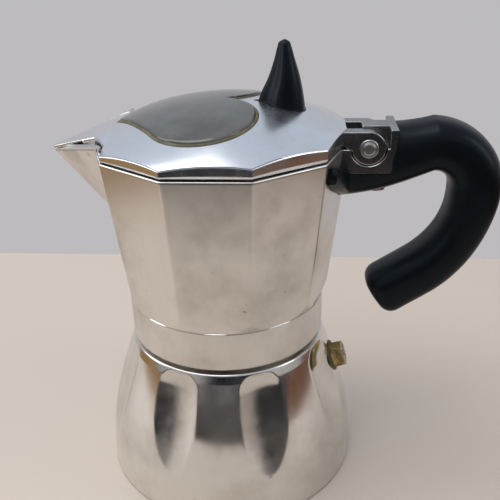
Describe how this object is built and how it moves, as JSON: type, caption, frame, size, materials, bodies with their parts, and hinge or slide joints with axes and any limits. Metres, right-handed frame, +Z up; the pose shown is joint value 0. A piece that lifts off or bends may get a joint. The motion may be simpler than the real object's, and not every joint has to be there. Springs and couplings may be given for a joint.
{
  "type": "moka pot",
  "caption": "Stove-top coffee pot: fluted boiler with safety valve, funnel and filter, ten-sided collector with spout and handle, and a hinged domed lid with a window and knob.",
  "frame": {"origin": "middle of the flat base, on the surface that the pot stands on", "axes": "+Z up, +X towards the handle, -X towards the spout"},
  "size_m": [0.1438, 0.0894, 0.149],
  "materials": {
    "cast_aluminium": "satin, worn and stained",
    "polished_aluminium": "polished",
    "stamped_aluminium": "satin",
    "valve_brass": "dull",
    "steel": "plain",
    "seal_rubber": "matte",
    "smoky_window": "smooth, smoky",
    "black_plastic": "semi-gloss"
  },
  "bodies": {
    "boiler_body": {"boiler": "cast_aluminium", "valve_body": "valve_brass", "valve_washer": "seal_rubber", "valve_cap": "valve_brass"},
    "plunger_body": {"valve_plunger": "steel", "valve_spring": "steel"},
    "funnel_body": {"funnel_basket": "stamped_aluminium", "funnel_tube": "stamped_aluminium", "funnel_grid": "stamped_aluminium"},
    "gasket_body": {"gasket": "seal_rubber"},
    "filter_body": {"filter_plate": "stamped_aluminium"},
    "collector_body": {"collector": "cast_aluminium", "coffee_column": "stamped_aluminium", "handle": "black_plastic", "handle_screw": "steel", "hinge_pin": "steel"},
    "lid_body": {"lid": "polished_aluminium", "lid_window": "smoky_window", "window_seal": "seal_rubber", "lid_knob": "black_plastic", "knob_screw": "steel"}
  },
  "joints": [
    {"name": "valve_lift", "type": "slide", "parent": "boiler_body", "child": "plunger_body", "axis": [0.9471, -0.0662, 0.314], "range_m": [0, 0.001], "stiffness_N_per_m": 1500, "springref_m": -0.001, "deforming": ["valve_spring"]},
    {"name": "funnel_lift", "type": "slide", "parent": "boiler_body", "child": "funnel_body", "axis": [0, 0, 1], "range_m": [0, 0.06]},
    {"name": "collector_lift", "type": "slide", "parent": "boiler_body", "child": "gasket_body", "axis": [0, 0, 1], "range_m": [0, 0.12]},
    {"name": "collector_rise", "type": "slide", "parent": "gasket_body", "child": "filter_body", "axis": [0, 0, 1], "range_m": [0, 0.0045]},
    {"name": "collector_unscrew", "type": "hinge", "parent": "filter_body", "child": "collector_body", "pos_m": [0, 0, 0.06], "axis": [0, 0, 1], "range_deg": [0, 540]},
    {"name": "lid_hinge", "type": "hinge", "parent": "collector_body", "child": "lid_body", "pos_m": [0.0462, 0, 0.1177], "axis": [0, 1, 0], "range_deg": [0, 95]}
  ],
  "couplings": [
    {"joint": "collector_rise", "follows": "collector_unscrew", "m_per_rad": 0.00047746},
    {"joint": "funnel_lift", "follows": "collector_lift", "ratio": 0.5}
  ]
}
